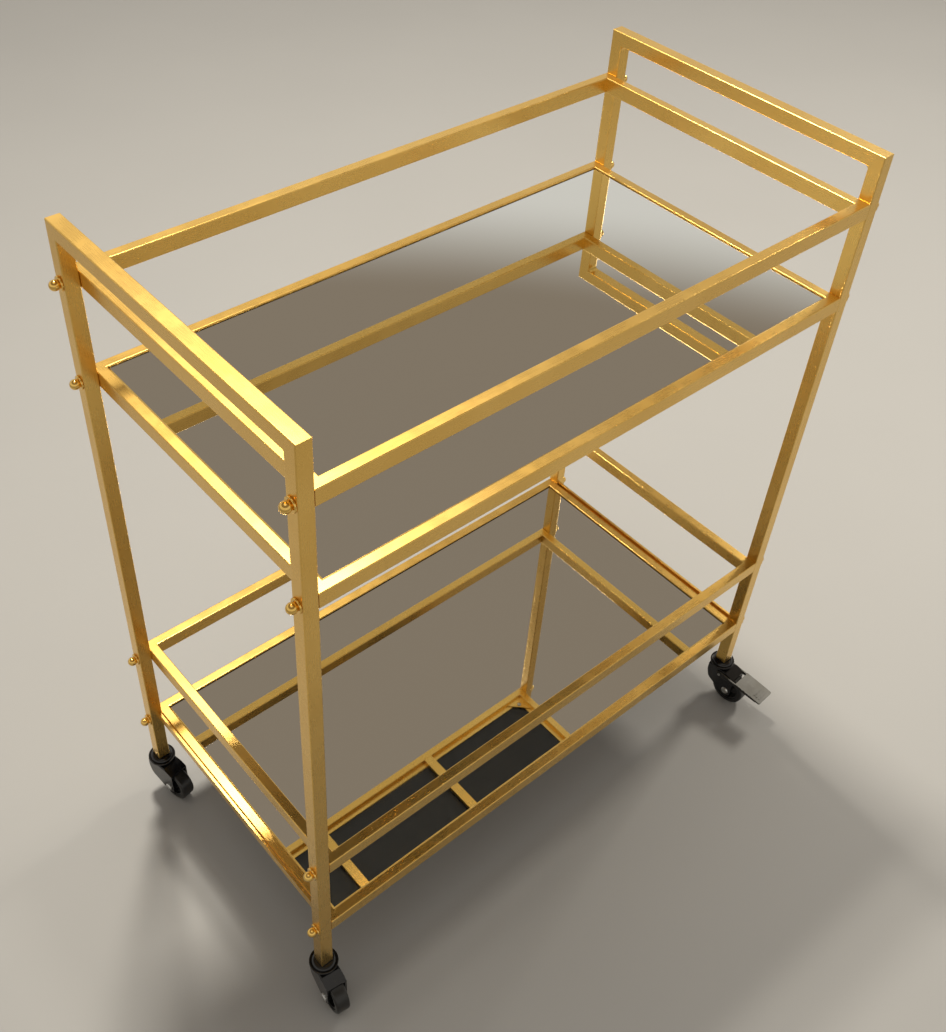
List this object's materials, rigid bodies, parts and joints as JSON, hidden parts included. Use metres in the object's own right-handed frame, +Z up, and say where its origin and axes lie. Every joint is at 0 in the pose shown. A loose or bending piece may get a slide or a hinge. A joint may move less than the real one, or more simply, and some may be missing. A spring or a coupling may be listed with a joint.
{
  "type": "bar cart",
  "caption": "Gold metal bar cart with an upper and a lower mirror shelf, guard rails, a push handle at each end, ball-head bolts and small black swivel casters.",
  "frame": {"origin": "on the floor, under the middle of the whole box; the casters trail forwards at rest, so the cart's own middle plane is at Y = +31.5 mm", "axes": "+Z up; X along the long side, with a push handle at each X end and the two braked casters at +X; -Y is the front"},
  "size_m": [0.7655, 0.4645, 0.88],
  "materials": {
    "gold_metal": "satin gold plating, lightly brushed",
    "mirror_glass": "polished",
    "mirror_back": "black paint on board",
    "zinc_steel": "zinc plated",
    "black_metal": "black, semi-gloss",
    "black_plastic": "moulded black",
    "black_rubber": "dull black",
    "pedal_plastic": "dark olive-grey, fine grain"
  },
  "bodies": {
    "cart": {"left_front_post": "gold_metal", "left_back_post": "gold_metal", "left_handle": "gold_metal", "right_front_post": "gold_metal", "right_back_post": "gold_metal", "right_handle": "gold_metal", "end_stretchers": "gold_metal", "upper_rail_front_tube": "gold_metal", "upper_rail_back_tube": "gold_metal", "upper_rail_left_tube": "gold_metal", "upper_rail_right_tube": "gold_metal", "upper_shelf_front_tube": "gold_metal", "upper_shelf_back_tube": "gold_metal", "upper_shelf_left_tube": "gold_metal", "upper_shelf_right_tube": "gold_metal", "lower_rail_front_tube": "gold_metal", "lower_rail_back_tube": "gold_metal", "lower_rail_left_tube": "gold_metal", "lower_rail_right_tube": "gold_metal", "lower_shelf_front_tube": "gold_metal", "lower_shelf_back_tube": "gold_metal", "lower_shelf_left_tube": "gold_metal", "lower_shelf_right_tube": "gold_metal", "upper_shelf_mirror": "mirror_glass", "upper_shelf_backing": "mirror_back", "upper_shelf_ledges": "gold_metal", "upper_shelf_cross_bars": "gold_metal", "upper_shelf_gussets": "gold_metal", "lower_shelf_mirror": "mirror_glass", "lower_shelf_backing": "mirror_back", "lower_shelf_ledges": "gold_metal", "lower_shelf_cross_bars": "gold_metal", "lower_shelf_gussets": "gold_metal", "left_ball_bolts": "gold_metal", "right_ball_bolts": "gold_metal", "weld_nuts": "zinc_steel", "gusset_screws": "zinc_steel", "post_plugs": "black_plastic", "caster_stems": "zinc_steel", "caster_caps": "black_metal"},
    "left_front_swivel": {"left_front_fork": "black_metal", "left_front_axle": "zinc_steel"},
    "left_front_wheel": {"left_front_hub": "black_plastic", "left_front_tyre": "black_rubber"},
    "left_back_swivel": {"left_back_fork": "black_metal", "left_back_axle": "zinc_steel"},
    "left_back_wheel": {"left_back_hub": "black_plastic", "left_back_tyre": "black_rubber"},
    "right_front_swivel": {"right_front_fork": "black_metal", "right_front_axle": "zinc_steel", "right_front_brake_pin": "zinc_steel"},
    "right_front_wheel": {"right_front_hub": "black_plastic", "right_front_tyre": "black_rubber"},
    "right_front_pedal": {"right_front_brake_pedal": "pedal_plastic"},
    "right_back_swivel": {"right_back_fork": "black_metal", "right_back_axle": "zinc_steel", "right_back_brake_pin": "zinc_steel"},
    "right_back_wheel": {"right_back_hub": "black_plastic", "right_back_tyre": "black_rubber"},
    "right_back_pedal": {"right_back_brake_pedal": "pedal_plastic"}
  },
  "joints": [
    {"name": "left_front_swivel_turn", "type": "hinge", "parent": "cart", "child": "left_front_swivel", "pos_m": [-0.362, -0.1515, 0.0605], "axis": [0, 0, 1], "continuous": true},
    {"name": "left_front_wheel_spin", "type": "hinge", "parent": "left_front_swivel", "child": "left_front_wheel", "pos_m": [-0.3648, -0.17433, 0.025], "axis": [0.9925, -0.1219, 0], "continuous": true},
    {"name": "left_back_swivel_turn", "type": "hinge", "parent": "cart", "child": "left_back_swivel", "pos_m": [-0.362, 0.2145, 0.0605], "axis": [0, 0, 1], "continuous": true},
    {"name": "left_back_wheel_spin", "type": "hinge", "parent": "left_back_swivel", "child": "left_back_wheel", "pos_m": [-0.35761, 0.19192, 0.025], "axis": [0.9816, 0.1908, 0], "continuous": true},
    {"name": "right_front_swivel_turn", "type": "hinge", "parent": "cart", "child": "right_front_swivel", "pos_m": [0.362, -0.1515, 0.0605], "axis": [0, 0, 1], "continuous": true},
    {"name": "right_front_wheel_spin", "type": "hinge", "parent": "right_front_swivel", "child": "right_front_wheel", "pos_m": [0.3636, -0.17444, 0.025], "axis": [0.9976, 0.0698, 0], "continuous": true},
    {"name": "right_front_brake_press", "type": "hinge", "parent": "right_front_swivel", "child": "right_front_pedal", "pos_m": [0.36256, -0.15948, 0.0505], "axis": [0.9976, 0.0698, 0], "range_deg": [0, 10]},
    {"name": "right_back_swivel_turn", "type": "hinge", "parent": "cart", "child": "right_back_swivel", "pos_m": [0.362, 0.2145, 0.0605], "axis": [0, 0, 1], "continuous": true},
    {"name": "right_back_wheel_spin", "type": "hinge", "parent": "right_back_swivel", "child": "right_back_wheel", "pos_m": [0.36401, 0.19159, 0.025], "axis": [0.9962, 0.0872, 0], "continuous": true},
    {"name": "right_back_brake_press", "type": "hinge", "parent": "right_back_swivel", "child": "right_back_pedal", "pos_m": [0.3627, 0.20653, 0.0505], "axis": [0.9962, 0.0872, 0], "range_deg": [0, 10]}
  ]
}
